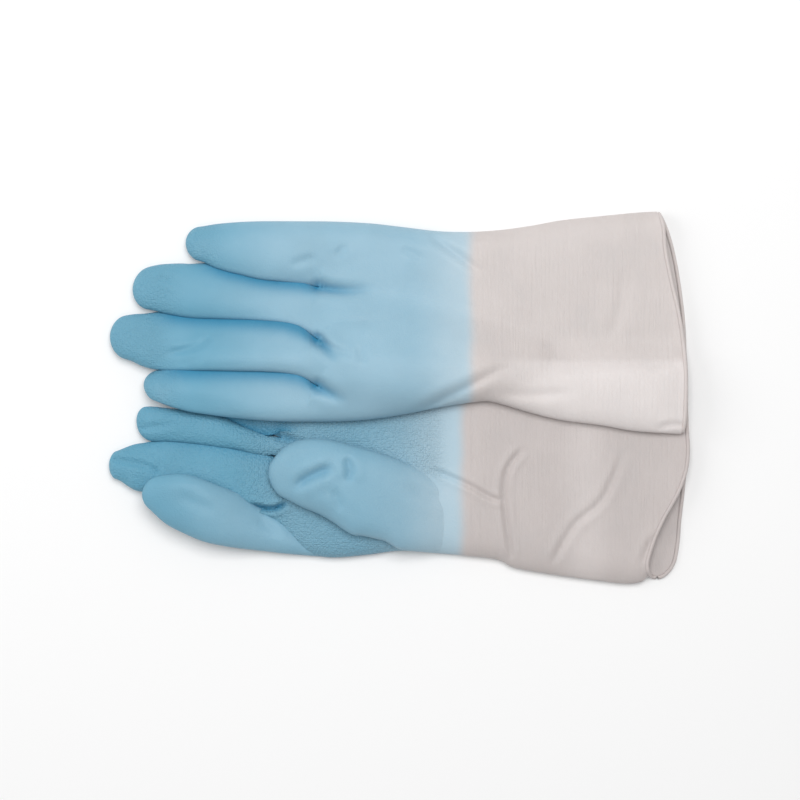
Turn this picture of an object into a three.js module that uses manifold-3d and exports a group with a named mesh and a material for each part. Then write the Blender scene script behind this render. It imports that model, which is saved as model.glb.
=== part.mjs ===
// A pair of household rubber gloves, put down flat: the left glove palm up with its thumb folded over
// the palm, and the right glove lying back up across its little-finger side. Millimetres, +Z up,
// fingers towards -X, cuffs towards +X, standing on z = 0.
//
// Every lobe of a glove (finger, thumb, palm, cuff) is a flattened, air-filled tube that runs along X.
// It is given by a few stations [x, yLow, yHigh, zLow, zHigh] from its tip to its root. The finger
// stalls stand against the palm's front end, behind a narrow gap, and the thumb is cut where it folds.
import * as THREE from "three";
import { mergeVertices } from "three/addons/utils/BufferGeometryUtils.js";
import Module from "manifold-3d";

const WALL = 0.7; // dipped wall, base coat and colour coat together
const GAP = 0.4; // clear gap at each cut between two solids
const NECK_INSET = 2.2; // how far inside a stall's outline its opening into the palm lies
const BEAD_RADIUS = 1.0; // the rolled edge round each cuff mouth
const WRIST_X = 38; // where the hand ends and the cuff begins, on both gloves
const REST_SHARE = 0.6; // how much of its half-height a lobe loses where it lies on something
const ROUND = 2.3; // superellipse exponent of a finger's section
const BROAD = 3.6; // and of a palm's or a cuff's
const RING_PITCH = 13; // spacing of the sections along a lobe
const NOSE_RINGS = 2; // sections round a tip
const BOX = 1000; // side of the cutting block

const BLUE = { color: 0x9cc8df, roughness: 0.55, metalness: 0 };
const WHITE = { color: 0xd3cac6, roughness: 0.5, metalness: 0 };

const FINGER_FORM = { segments: 14, exponent: ROUND };
const PALM_FORM = { segments: 32, exponent: BROAD };
const CUFF_FORM = { segments: 32, exponent: BROAD };

// --- Stations -------------------------------------------------------------------------------------

// The right glove's heights are measured above what it lies on, which lift() adds.
const RIGHT = {
  hand: {
    form: PALM_FORM,
    rows: [
      [-58, -13, 93, 0, 11.2],
      [-36.5, -13, 92, 0, 12.5],
      [-10, -11, 91, 0, 13],
      [6, -8.5, 89, 0, 13],
      [22, -5.5, 87.5, 0, 12.5],
      [WRIST_X, -3, 87.5, 0, 11.5],
    ],
  },
  fingers: {
    little: {
      tip: [-112.5, 81.5],
      rows: [
        [-102.5, 71, 90.5, 0, 10],
        [-89.5, 66, 92, 0, 11],
        [-72.5, 62, 93, 0, 11],
        [-58, 61.5, 92, 0, 11],
      ],
    },
    ring: {
      tip: [-140.5, 57],
      rows: [
        [-131.5, 47, 68.5, 0, 9.5],
        [-121, 43.5, 70.5, 0, 10.5],
        [-105, 41.5, 70, 0, 11],
        [-89.5, 41, 65, 0, 11],
        [-72.5, 40, 61, 0, 11],
        [-58, 38.5, 60, 0, 11],
      ],
    },
    middle: {
      tip: [-152.5, 32],
      rows: [
        [-145, 20.5, 41.5, 0, 9],
        [-137, 16.5, 43.5, 0, 10],
        [-124, 14.5, 42.2, 0, 11],
        [-105, 13.5, 40.5, 0, 11],
        [-89.5, 13, 40, 0, 11],
        [-72.5, 12.5, 39, 0, 11],
        [-58, 12, 37, 0, 11],
      ],
    },
    index: {
      tip: [-134, 7],
      rows: [
        [-129, -1, 13, 0, 8.5],
        [-121, -5, 13, 0, 10],
        [-105, -8.5, 12.5, 0, 10.5],
        [-89.5, -10.5, 12, 0, 11],
        [-72.5, -12, 11.5, 0, 11],
        [-58, -12, 10.5, 0, 11],
      ],
    },
  },
  // Folded flat under the palm, so its heights are above the floor.
  thumb: {
    fold: 14,
    tip: [-42.5, 15],
    rows: [
      [-33.5, 5, 25, 10.6, 16.8],
      [-15, 1, 26, 10.6, 17],
      [6, -2.5, 22.5, 10.8, 16.8],
      [14, -2.5, 20.5, 11.4, 17],
      [22, -2, 18.5, 14, 20.5],
      [33, 0.5, 16, 19.5, 27],
    ],
  },
  cuff: {
    form: CUFF_FORM,
    rows: [
      [WRIST_X, -3, 87.5, 0, 11.5],
      [54, -4, 88, 0, 10.5],
      [69.5, -8, 90.5, 0, 9.5],
      [85.5, -12, 93.5, 0, 9],
      [107, -15.5, 95.5, 0, 8.6],
      [128, -18.5, 97.5, 0, 8.4],
      [154, -19.5, 98, 0, 8.2],
    ],
    // [y, x] of the mouth, across the upper sheet and across the lower sheet
    rimUpper: [[-19.5, 149.5], [-8, 148.5], [20, 148.5], [46, 146], [70, 141.5], [88, 138], [98, 136]],
    rimLower: [[-19.5, 149.5], [-8, 150.4], [20, 150], [46, 148], [70, 145], [88, 140.5], [98, 136]],
  },
};

const LEFT = {
  hand: {
    form: PALM_FORM,
    rows: [
      [-72, -81.5, 15, 0, 9.6],
      [-39, -84.5, 16.5, 0, 10],
      [-10, -82.5, 16.5, 0, 10],
      [16.5, -82.5, 12, 0, 10.4],
      [WRIST_X, -83, 8, 0, 11],
    ],
  },
  fingers: {
    little: {
      tip: [-113, 7],
      rows: [
        [-102.5, 0.5, 13, 0, 7.5],
        [-84, -2.5, 14, 0, 8.5],
        [-72, -3.5, 14, 0, 9],
      ],
    },
    ring: {
      tip: [-138.5, -12.5],
      rows: [
        [-131.5, -23, -5.5, 0, 8],
        [-121, -23.5, -6.8, 0, 9],
        [-105, -24.5, -10, 0, 9.5],
        [-89.5, -26.5, -12.8, 0, 9.5],
        [-72, -29.3, -13.4, 0, 9.5],
      ],
    },
    middle: {
      tip: [-153, -36],
      rows: [
        [-147.5, -44, -28, 0, 7.5],
        [-139.5, -49, -25, 0, 8.5],
        [-131.5, -50, -24.2, 0, 9],
        [-105, -49, -25.2, 0, 9],
        [-89.5, -51.5, -27.5, 0, 9.5],
        [-72, -56, -31, 0, 9.5],
      ],
    },
    // Its outer half lies on the middle finger.
    index: {
      tip: [-134, -50],
      rows: [
        [-129, -58, -43, 10.2, 18],
        [-121, -65.5, -40.5, 10, 19.5],
        [-113, -70.5, -40.5, 9.9, 20],
        [-102.5, -75.5, -43.5, 9.9, 20],
        [-90, -78.5, -49, 7, 17.5],
        [-80, -80, -56.5, 2, 12.5],
        [-72, -80.5, -58.5, 0, 9.6],
      ],
    },
  },
  // Folded over the palm.
  thumb: {
    fold: -8,
    tip: [-69, -37.5],
    rows: [
      [-63, -50, -28, 11, 19],
      [-52, -56, -23, 11, 21.5],
      [-41.5, -61.5, -21.5, 11, 22.5],
      [-25.5, -71.5, -25, 11, 22.5],
      [-10, -79, -29.5, 11, 22],
      [4, -80.5, -34, 8.5, 20.5],
      [20, -80, -42, 4, 15],
      [34, -79, -49.5, 1.2, 9.8],
    ],
  },
  cuff: {
    form: CUFF_FORM,
    rows: [
      [WRIST_X, -83, 8, 0, 11],
      [54, -86.5, 11, 0, 10],
      [69.5, -89, 14.5, 0, 9],
      [85.5, -91.5, 16, 0, 8.6],
      [107, -95.5, 17.5, 0, 8.4],
      [128, -98, 18, 0, 8.2],
      [154, -98, 17.5, 0, 8.2],
    ],
    // The upper sheet is drawn back at the thumb side, so the mouth gapes there.
    rimUpper: [[-98, 134.5], [-91, 129], [-78, 132], [-65, 138], [-50, 146], [-35, 149.8], [-15, 150.2], [18, 147]],
    rimLower: [[-98, 134.5], [-91, 142], [-78, 146], [-65, 146.8], [-50, 147.8], [-35, 149.8], [-15, 150.2], [18, 147]],
  },
};

// How high the right glove's underside stands above the floor where it crosses the left glove:
// [x, height, y where the rise begins, y where it is complete].
const LIFT_ROWS = [
  [-95, 10.8, 38, 14],
  [-60, 12, 46, 16],
  [-36, 17.4, 66, 28],
  [14, 18, 66, 28],
  [WRIST_X, 18, 62, 22],
  [72, 12, 52, 20],
  [154, 9.8, 50, 20],
];

// --- Curves through stations ----------------------------------------------------------------------

// The values of rows (each [x, ...values]) at x, on a smooth curve through them, held past the ends.
function along(rows, x) {
  const last = rows.length - 1;
  if (x <= rows[0][0]) return rows[0].slice(1);
  if (x >= rows[last][0]) return rows[last].slice(1);
  const i = rows.findIndex((row) => row[0] > x) - 1;
  const [a, b] = [rows[i], rows[i + 1]];
  const before = rows[Math.max(i - 1, 0)];
  const after = rows[Math.min(i + 2, last)];
  const span = b[0] - a[0];
  const u = (x - a[0]) / span;
  return a.slice(1).map((value, k) => {
    const slopeA = ((b[k + 1] - before[k + 1]) / (b[0] - before[0])) * span;
    const slopeB = ((after[k + 1] - a[k + 1]) / (after[0] - a[0])) * span;
    return hermite(u, value, b[k + 1], slopeA, slopeB);
  });
}

function hermite(u, from, to, slopeFrom, slopeTo) {
  const u2 = u * u;
  const u3 = u2 * u;
  return (
    (2 * u3 - 3 * u2 + 1) * from +
    (u3 - 2 * u2 + u) * slopeFrom +
    (3 * u2 - 2 * u3) * to +
    (u3 - u2) * slopeTo
  );
}

function smoothstep(u) {
  const c = Math.min(1, Math.max(0, u));
  return c * c * (3 - 2 * c);
}

function lift(x, y) {
  const [height, begins, complete] = along(LIFT_ROWS, x);
  return height * smoothstep((begins - y) / (begins - complete));
}

const onFloor = () => 0;

// --- Sections and solids --------------------------------------------------------------------------

// The closed section of a lobe at x: a superellipse, flattened where it rests. inset moves it inwards.
function section(x, [yLow, yHigh, zLow, zHigh], { segments, exponent }, inset, base, scale = 1) {
  const halfWidth = ((yHigh - yLow) / 2 - inset) * scale;
  const height = zHigh - zLow - 2 * inset;
  const halfHeight = height / (1 + REST_SHARE);
  const yMid = (yLow + yHigh) / 2;
  const zMid = zHigh - inset - halfHeight;
  const floor = zLow + inset;
  const points = [];
  for (let i = 0; i < segments; i++) {
    const t = (2 * Math.PI * i) / segments;
    const power = 2 / exponent;
    const y = yMid + halfWidth * Math.sign(Math.cos(t)) * Math.abs(Math.cos(t)) ** power;
    const up = halfHeight * Math.sign(Math.sin(t)) * Math.abs(Math.sin(t)) ** power * scale;
    points.push([x, y, Math.max(zMid + up, floor) + base(x, y)]);
  }
  return points;
}

// The faces between consecutive rings, all of one length; looped joins the last ring to the first.
function bands(ringCount, n, looped) {
  const index = [];
  for (let r = 0; r < (looped ? ringCount : ringCount - 1); r++) {
    const next = (((r + 1) % ringCount) - r) * n;
    for (let i = 0; i < n; i++) {
      const [a, b] = [r * n + i, r * n + ((i + 1) % n)];
      index.push(a, b, b + next, a, b + next, a + next);
    }
  }
  return index;
}

// Rings joined into a closed ring-shaped surface, such as a tube wall or a cord.
function ringSkin(rings) {
  return geometryOf(rings.flat(), bands(rings.length, rings[0].length, true));
}

// Rings joined into a closed surface with a fan at each end.
function skin(rings) {
  const n = rings[0].length;
  const points = rings.flat();
  const index = bands(rings.length, n, false);
  const fan = (start, flip) => {
    const middle = rings[start / n].reduce((m, p) => m.map((v, k) => v + p[k] / n), [0, 0, 0]);
    points.push(middle);
    for (let i = 0; i < n; i++) {
      const edge = [start + i, start + ((i + 1) % n)];
      if (flip) edge.reverse();
      index.push(points.length - 1, ...edge);
    }
  };
  fan(0, true);
  fan((rings.length - 1) * n, false);
  return geometryOf(points, index);
}

function geometryOf(points, index) {
  const geometry = new THREE.BufferGeometry();
  geometry.setAttribute("position", new THREE.Float32BufferAttribute(points.flat(), 3));
  geometry.setIndex(index);
  return geometry;
}

// The rings of a lobe from its rounded tip to its root.
function lobeRings({ tip, rows, form = FINGER_FORM }, inset, base, reach = 0) {
  const rings = [];
  const first = rows[0];
  if (tip) {
    const [tipX, tipY] = [tip[0] + inset, tip[1]];
    for (let i = 0; i < NOSE_RINGS; i++) {
      const angle = ((i + 0.4) / NOSE_RINGS) * (Math.PI / 2);
      const x = first[0] - (first[0] - tipX) * Math.cos(angle);
      const grown = Math.sin(angle);
      const shift = (tipY - (first[1] + first[2]) / 2) * (1 - grown);
      const row = [first[1] + shift, first[2] + shift, first[3], first[4]];
      rings.push(section(x, row, form, inset, base, grown));
    }
  }
  const end = rows[rows.length - 1][0];
  const steps = Math.max(2, Math.round((end - first[0]) / RING_PITCH));
  for (let i = 0; i <= steps; i++) {
    const x = first[0] + ((end - first[0]) * i) / steps;
    rings.push(section(x, along(rows, x), form, inset, base));
  }
  if (reach) rings.push(rings[rings.length - 1].map(([x, y, z]) => [x + reach, y, z]));
  return rings;
}

const wasm = await Module();
wasm.setup();

function solidOf(geometry) {
  const bare = geometry.clone();
  bare.deleteAttribute("normal");
  bare.deleteAttribute("uv");
  const merged = mergeVertices(bare, 1e-4);
  const mesh = new wasm.Mesh({
    numProp: 3,
    vertProperties: merged.attributes.position.array,
    triVerts: new Uint32Array(merged.index.array),
  });
  return new wasm.Manifold(mesh);
}

function geometryFrom(solid) {
  const { vertProperties, triVerts } = solid.getMesh();
  const geometry = new THREE.BufferGeometry();
  geometry.setAttribute("position", new THREE.BufferAttribute(vertProperties, 3));
  geometry.setIndex(new THREE.BufferAttribute(triVerts, 1));
  return geometry;
}

// Everything beyond the plane at x, towards the fingers or towards the cuffs, as a block to cut with.
const blockBelow = (x) => solidOf(new THREE.BoxGeometry(BOX, BOX, BOX).translate(x - BOX / 2, 0, 0));
const blockAbove = (x) => solidOf(new THREE.BoxGeometry(BOX, BOX, BOX).translate(x + BOX / 2, 0, 0));

const outerOf = (lobe, base) => solidOf(skin(lobeRings(lobe, 0, base)));
const innerOf = (lobe, base) => solidOf(skin(lobeRings(lobe, WALL, base, WALL * 2)));

// A stall: the hollow tube beyond its fold, closed at the tip and open at the root.
function stall(lobe, base, fold) {
  const hollow = outerOf(lobe, base).subtract(innerOf(lobe, base));
  return hollow.intersect(blockBelow(fold - GAP));
}

// A hand: the palm with the thumb's root joined on, hollow, open at the wrist and into every stall.
function hand({ hand: palm, fingers, thumb }, base, thumbBase) {
  const throughFold = blockAbove(thumb.fold - GAP);
  const root = outerOf(thumb, thumbBase).intersect(blockAbove(thumb.fold));
  let cavity = solidOf(skin(lobeRings(palm, WALL, base, WALL * 2).map(setBack)));
  cavity = cavity.add(innerOf(thumb, thumbBase).intersect(throughFold));
  let shell = outerOf(palm, base).add(root).subtract(cavity);
  for (const finger of Object.values(fingers)) {
    shell = shell.subtract(solidOf(skin(lobeRings(finger, NECK_INSET, base, WALL * 2))));
  }
  return shell.intersect(blockBelow(WRIST_X - GAP / 2));
}

// The palm's cavity stops one wall short of the palm's front end.
function setBack(ring, r) {
  return r === 0 ? ring.map(([x, y, z]) => [x + WALL, y, z]) : ring;
}

// A cuff: a tube from the wrist to its mouth, with the mouth's own outline on each sheet.
function cuffRings({ form, rows, rimUpper, rimLower }, inset, base) {
  const start = WRIST_X + GAP / 2;
  const end = rows[rows.length - 1][0];
  const mouth = section(end, along(rows, end), form, 0, onFloor);
  const rimX = mouth.map(([, y], i) => along(i <= form.segments / 2 ? rimUpper : rimLower, y)[0]);
  const steps = 8;
  const rings = [];
  for (let k = 0; k <= steps; k++) {
    const stations = rimX.map((rim) => start + ((rim - start) * k) / steps);
    rings.push(stations.map((x, i) => section(x, along(rows, x), form, inset, base)[i]));
  }
  return rings;
}

// The cuff's wall: out along its outside, back along its inside.
function cuff(shape, base) {
  return ringSkin([...cuffRings(shape, 0, base), ...cuffRings(shape, WALL, base).reverse()]);
}

// The rolled edge: a closed round cord that follows the mouth just outside the cuff's own edge.
function bead(shape, base) {
  const edge = cuffRings(shape, WALL / 2, base).pop();
  const path = new THREE.CatmullRomCurve3(edge.map((point) => new THREE.Vector3(...point)), true);
  const [steps, sides] = [56, 6];
  const rings = [];
  for (let s = 0; s < steps; s++) {
    const middle = path.getPointAt(s / steps);
    const tangent = path.getTangentAt(s / steps);
    const outward = new THREE.Vector3(1, 0, 0).projectOnPlane(tangent).normalize();
    const across = new THREE.Vector3().crossVectors(tangent, outward);
    middle.addScaledVector(outward, GAP + BEAD_RADIUS);
    middle.z = Math.max(middle.z, BEAD_RADIUS);
    const ring = [];
    for (let k = 0; k < sides; k++) {
      const angle = (2 * Math.PI * k) / sides;
      const point = middle.clone();
      point.addScaledVector(outward, BEAD_RADIUS * Math.cos(angle));
      point.addScaledVector(across, BEAD_RADIUS * Math.sin(angle));
      ring.push(point.toArray());
    }
    rings.push(ring);
  }
  return ringSkin(rings);
}

// --- Assembly -------------------------------------------------------------------------------------

const gloves = new THREE.Group();

function addPart(name, geometry, look) {
  const mesh = new THREE.Mesh(geometry, new THREE.MeshStandardMaterial(look));
  mesh.name = name;
  gloves.add(mesh);
}

function addGlove(side, glove, base, thumbBase) {
  addPart(`${side}_hand`, geometryFrom(hand(glove, base, thumbBase)), BLUE);
  for (const [finger, lobe] of Object.entries(glove.fingers)) {
    const palmFront = glove.hand.rows[0][0];
    addPart(`${side}_${finger}_stall`, geometryFrom(stall(lobe, base, palmFront)), BLUE);
  }
  const thumb = stall(glove.thumb, thumbBase, glove.thumb.fold);
  addPart(`${side}_thumb_stall`, geometryFrom(thumb), BLUE);
  addPart(`${side}_cuff`, cuff(glove.cuff, base), WHITE);
  addPart(`${side}_cuff_bead`, bead(glove.cuff, base), WHITE);
}

addGlove("left", LEFT, onFloor, onFloor);
addGlove("right", RIGHT, lift, onFloor);

export default gloves;
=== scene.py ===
import math

import bpy
import numpy as np
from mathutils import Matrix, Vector
from mathutils.geometry import delaunay_2d_cdt


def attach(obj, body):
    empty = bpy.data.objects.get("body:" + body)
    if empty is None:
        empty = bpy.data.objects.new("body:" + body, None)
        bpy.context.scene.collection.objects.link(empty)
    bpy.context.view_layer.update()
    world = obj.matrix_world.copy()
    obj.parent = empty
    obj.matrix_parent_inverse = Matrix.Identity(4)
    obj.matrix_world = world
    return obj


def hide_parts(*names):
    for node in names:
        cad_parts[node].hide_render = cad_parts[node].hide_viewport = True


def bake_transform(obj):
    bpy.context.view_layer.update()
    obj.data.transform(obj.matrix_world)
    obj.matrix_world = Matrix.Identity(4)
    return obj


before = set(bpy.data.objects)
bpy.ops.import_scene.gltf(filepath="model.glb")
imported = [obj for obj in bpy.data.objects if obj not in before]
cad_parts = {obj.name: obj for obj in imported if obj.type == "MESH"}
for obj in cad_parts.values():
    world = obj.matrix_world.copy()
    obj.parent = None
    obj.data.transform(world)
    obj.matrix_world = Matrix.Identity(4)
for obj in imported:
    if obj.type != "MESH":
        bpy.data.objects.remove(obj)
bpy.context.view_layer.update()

MM = 0.001
WRIST = 38.0  # x where the hand pieces end and the cuff pieces begin
CUT_R, CUT_L = -46.0, -57.0  # x where the finger pieces begin

STEP = 1.0  # spacing along a curve
SHEET_PITCH = 1.3  # spacing inside an upper sheet
UNDER_PITCH = 2.2  # and inside a lower sheet
ROW_PITCH = 0.866  # spacing of the rows inside a sheet, as a share of its pitch
ROUNDING = (0.12, 0.4, 0.9, 1.6, 2.4)  # rows of points close to an outline, where the sheet turns over
CROWDED = 0.86  # a row's point nearer to the outline than this share of the row's depth is left out
CUT_STEP = 1.1  # spacing along a cut
CUT_ENDS = 0.25  # a cut stops this far from the outline
CUT_CLEAR = 0.45  # and other points stay this far from it
CHUNK = 2000  # points whose distances are measured at a time

EDGE = 3.0  # how high the turned edge of a collapsed part lies
CROWN = 15.0  # an upper sheet is level from this far inside its outline
TURN = 7.0  # a lower sheet is flat from this far inside
TILT_TURN = 9.0  # and shows no tilt of its finger from this far inside
ROLL = 0.3  # height of the rolls beside a crease, as a share of its depth
LOWEST = 0.25  # no sheet comes nearer to the floor
WALL = 0.55  # between the two faces of a cuff's sheet
BEAD = 1.0  # radius of the rolled edge round a cuff's mouth


# --- curves ---------------------------------------------------------------------------------------


def eased(x, xs, ys):
    """A value that moves smoothly from each listed one to the next."""
    x = np.asarray(x, float)
    xs, ys = np.asarray(xs, float), np.asarray(ys, float)
    i = np.clip(np.searchsorted(xs, x) - 1, 0, len(xs) - 2)
    u = np.clip((x - xs[i]) / (xs[i + 1] - xs[i]), 0, 1)
    u = u * u * (3 - 2 * u)
    return ys[i] + (ys[i + 1] - ys[i]) * u


def smooth(u):
    """0 up to u = 0, 1 from u = 1, and a soft step between them."""
    u = np.clip(u, 0, 1)
    return u * u * (3 - 2 * u)


def spline(points):
    """A smooth line through the points, with points at even steps along it."""
    p = np.array(points, float)
    p = np.vstack([2 * p[0] - p[1], p, 2 * p[-1] - p[-2]])
    out = []
    for i in range(1, len(p) - 2):
        a, b, c, d = p[i - 1 : i + 3]
        spans = [max(np.linalg.norm(v), 1e-6) ** 0.5 for v in (b - a, c - b, d - c)]
        knots = np.cumsum([0] + spans)
        t = np.linspace(knots[1], knots[2], 24, endpoint=False)[:, None]
        t0, t1, t2, t3 = knots
        a1 = (t1 - t) / (t1 - t0) * a + (t - t0) / (t1 - t0) * b
        a2 = (t2 - t) / (t2 - t1) * b + (t - t1) / (t2 - t1) * c
        a3 = (t3 - t) / (t3 - t2) * c + (t - t2) / (t3 - t2) * d
        b1 = (t2 - t) / (t2 - t0) * a1 + (t - t0) / (t2 - t0) * a2
        b2 = (t3 - t) / (t3 - t1) * a2 + (t - t1) / (t3 - t1) * a3
        out.append((t2 - t) / (t2 - t1) * b1 + (t - t1) / (t2 - t1) * b2)
    out.append(p[-2][None, :])
    dense = np.vstack(out)
    along = np.concatenate([[0], np.cumsum(np.linalg.norm(np.diff(dense, axis=0), axis=1))])
    count = max(2, int(round(along[-1] / STEP)) + 1)
    at = np.linspace(0, along[-1], count)
    return np.stack([np.interp(at, along, dense[:, k]) for k in range(dense.shape[1])], 1)


def around(tip, rows):
    """A finger's edge: along its high side to the tip, round it, and back along its low side."""
    x, low, high = rows[0]
    middle, half = (low + high) / 2, (high - low) / 2
    points = [(row[0], row[2]) for row in reversed(rows)]
    for angle in (58, 30, 0, -30, -58):
        a = math.radians(angle)
        shift = (tip[1] - middle) * math.cos(a)
        points.append((x - (x - tip[0]) * math.cos(a), middle + half * math.sin(a) + shift))
    return points + [(row[0], row[1]) for row in rows]


def edge_height(rows, column, x):
    """The y of a finger's low (1) or high (2) edge at x. rows are (x, low y, high y)."""
    rows = sorted(rows)
    return np.interp(x, [r[0] for r in rows], [r[column] for r in rows])


def slits(fingers, x):
    """The y midway between each finger and the next lower one."""
    pairs = zip(fingers, fingers[1:])
    return [(edge_height(a, 1, x) + edge_height(b, 2, x)) / 2 for a, b in pairs]


# --- sheets ---------------------------------------------------------------------------------------


def depth_inside(points, outline, closed_by=None):
    """A distance from the outline that is exact beside it and smooth everywhere inside.
    closed_by marks the outline's stretches that count; a cuff's mouth doesn't."""
    a = outline
    b = np.roll(outline, -1, axis=0)
    if closed_by is not None:
        a, b = a[closed_by], b[closed_by]
    length = np.linalg.norm(b - a, axis=1)
    keep = length > 1e-9
    a, length = a[keep], length[keep]
    unit = (b[keep] - a) / length[:, None]
    total = np.zeros(len(points))
    for start in range(0, len(points), CHUNK):
        chunk = points[start : start + CHUNK]
        rel_x = chunk[:, 0:1] - a[:, 0]
        rel_y = chunk[:, 1:2] - a[:, 1]
        t = rel_x * unit[:, 0] + rel_y * unit[:, 1]
        off = np.maximum((rel_x * unit[:, 1] - rel_y * unit[:, 0]) ** 2, 1e-6)
        far = length[None, :] - t
        share = (far / np.sqrt(off + far * far) + t / np.sqrt(off + t * t)) / off
        total[start : start + CHUNK] = share.sum(1)
    return np.sqrt(2.0 / np.maximum(total, 1e-12))


def nearest(points, outline):
    """The exact distance to the outline's own points."""
    out = np.empty(len(points))
    for start in range(0, len(points), CHUNK):
        chunk = points[start : start + CHUNK]
        off_x = chunk[:, None, 0] - outline[None, :, 0]
        off_y = chunk[:, None, 1] - outline[None, :, 1]
        out[start : start + CHUNK] = (off_x**2 + off_y**2).min(1)
    return np.sqrt(out)


def inside(points, outline):
    """Which points a closed outline holds."""
    x, y = points[:, 0], points[:, 1]
    result = np.zeros(len(points), bool)
    for (x0, y0), (x1, y1) in zip(outline, np.roll(outline, -1, axis=0)):
        crosses = (y0 > y) != (y1 > y)
        result ^= crosses & (x < (x1 - x0) * (y - y0) / (y1 - y0 + 1e-12) + x0)
    return result


def triangulate(outline, pitch, cuts):
    """Points and triangles that fill the outline: rows close to it, an even field inside it, and the
    cuts, which no triangle crosses."""
    ahead = np.roll(outline, -1, axis=0) - np.roll(outline, 1, axis=0)
    ahead /= np.maximum(np.linalg.norm(ahead, axis=1), 1e-9)[:, None]
    inward = np.stack([-ahead[:, 1], ahead[:, 0]], 1)
    if inside(outline + inward * 0.05, outline).mean() < 0.5:
        inward = -inward
    fine = np.vstack([outline, (outline + np.roll(outline, -1, axis=0)) / 2])
    fields = []
    for depth in ROUNDING:
        row = outline + inward * depth
        row = row[inside(row, outline)]
        fields.append(row[nearest(row, fine) > depth * CROWDED])
    low, high = outline.min(0), outline.max(0)
    xs = np.arange(low[0], high[0], pitch)
    ys = np.arange(low[1], high[1], pitch * ROW_PITCH)
    gx, gy = np.meshgrid(xs, ys)
    gx = gx + (np.arange(len(ys)) % 2)[:, None] * pitch / 2
    grid = np.stack([gx.ravel(), gy.ravel()], 1)
    grid = grid[inside(grid, outline)]
    fields.append(grid[nearest(grid, fine) > ROUNDING[-1] + pitch * 0.45])
    free = np.vstack(fields)
    fixed = [outline]
    edges = [(i, (i + 1) % len(outline)) for i in range(len(outline))]
    for cut in cuts:
        path = cut[inside(cut, outline)]
        path = path[nearest(path, fine) > CUT_ENDS]
        if len(path) < 2:
            continue
        free = free[nearest(free, path) > CUT_CLEAR]
        first = sum(len(part) for part in fixed)
        edges += [(first + i, first + i + 1) for i in range(len(path) - 1)]
        fixed.append(path)
    points = [Vector(p) for p in np.vstack(fixed + [free])]
    rim = [list(range(len(outline)))]
    verts, _, faces, *_ = delaunay_2d_cdt(points, edges, rim, 1, 1e-5)
    return np.array([tuple(v) for v in verts]), np.array([f for f in faces if len(f) == 3])


def closed(runs):
    """The outline that the runs make, and which of its steps are wall and not a cuff's open mouth."""
    outline = np.vstack([path[:-1] for _, path in runs])
    walls = np.concatenate([np.full(len(path) - 1, not rim) for rim, path in runs])
    return outline, walls


def renumbered(faces, count):
    """Which of the points the faces use, and the faces in terms of those."""
    used = np.unique(faces)
    index = np.full(count, -1)
    index[used] = np.arange(len(used))
    return used, index[faces]


def one_sheet(runs, upper, shape, folds, cuts):
    """A sheet's points, how far each is in a crease, which are on its walls, and its triangles."""
    outline, walls = closed(runs)
    plan, tris = triangulate(outline, SHEET_PITCH if upper else UNDER_PITCH, cuts)
    depth = depth_inside(plan, outline, walls)
    wall_points = np.vstack([outline[walls], np.roll(outline, -1, axis=0)[walls]])
    on_wall = nearest(plan, wall_points) < 1e-3
    depth[on_wall] = 0
    z = shape(plan, depth, upper)
    groove = np.zeros(len(plan))
    if upper:
        creased = z.copy()
        for path, width, deep, fade_in, fade_out in folds:
            height = fold(plan, path, width, deep, fade_in, fade_out)
            creased += height * np.clip(depth / 2.0, 0, 1)
            # how deep each point lies in a crease, later painted darker as shade
            groove += np.maximum(-height, 0) / 3.0 * min(1, (deep / 3.2) ** 2)
        edge_level = shape(plan, np.zeros(len(plan)), upper)
        z = np.maximum(creased, np.minimum(z, edge_level))
    a, b, c = (plan[tris[:, k]] for k in range(3))
    area = (b[:, 0] - a[:, 0]) * (c[:, 1] - a[:, 1]) - (b[:, 1] - a[:, 1]) * (c[:, 0] - a[:, 0])
    wrong = (area < 0) if upper else (area > 0)
    tris[wrong] = tris[wrong][:, ::-1]
    points = np.column_stack([plan, np.maximum(z, LOWEST)])
    return points, groove, on_wall, tris[np.abs(area) > 1e-7]


class Lobe:
    """A pair of sheets. The runs of an outline are a list of (is_rim, path) that closes up;
    shape(points, depth, upper) gives a sheet's heights; folds are its creases, each a path, a width, a
    depth, and the shares of the path where it has faded in and where it starts to fade out; warp moves
    the points in plan afterwards."""

    def __init__(self, upper_runs, lower_runs, shape, folds, warp=None, cuts=()):
        upper = one_sheet(upper_runs, True, shape, folds, cuts)
        lower = one_sheet(lower_runs, False, shape, folds, cuts)
        points, groove, on_wall = (np.concatenate(pair) for pair in zip(upper[:3], lower[:3]))
        faces = np.vstack([upper[3], lower[3] + len(upper[0])])
        # the two sheets share their points on the walls, which are the same to 0.02 mm
        first_at = {}
        shared = np.arange(len(points))
        for i in np.nonzero(on_wall)[0]:
            key = (round(points[i, 0] * 50), round(points[i, 1] * 50))
            shared[i] = first_at.setdefault(key, i)
        a, b, c = shared[faces].T
        used, self.faces = renumbered(shared[faces][(a != b) & (b != c) & (a != c)], len(points))
        self.plan = points[used][:, :2]
        self.upper = used < len(upper[0])
        self.groove = groove[used]
        self.points = points[used] if warp is None else warp(points[used])

    def normals(self):
        """The direction that the surface faces at each point."""
        p, f = self.points, self.faces
        face = np.cross(p[f[:, 1]] - p[f[:, 0]], p[f[:, 2]] - p[f[:, 0]])
        total = np.zeros_like(p)
        for k in range(3):
            np.add.at(total, f[:, k], face)
        return total / np.maximum(np.linalg.norm(total, axis=1), 1e-12)[:, None]

    def centres(self):
        """The middle of each face in plan."""
        return self.plan[self.faces].mean(1)


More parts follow.
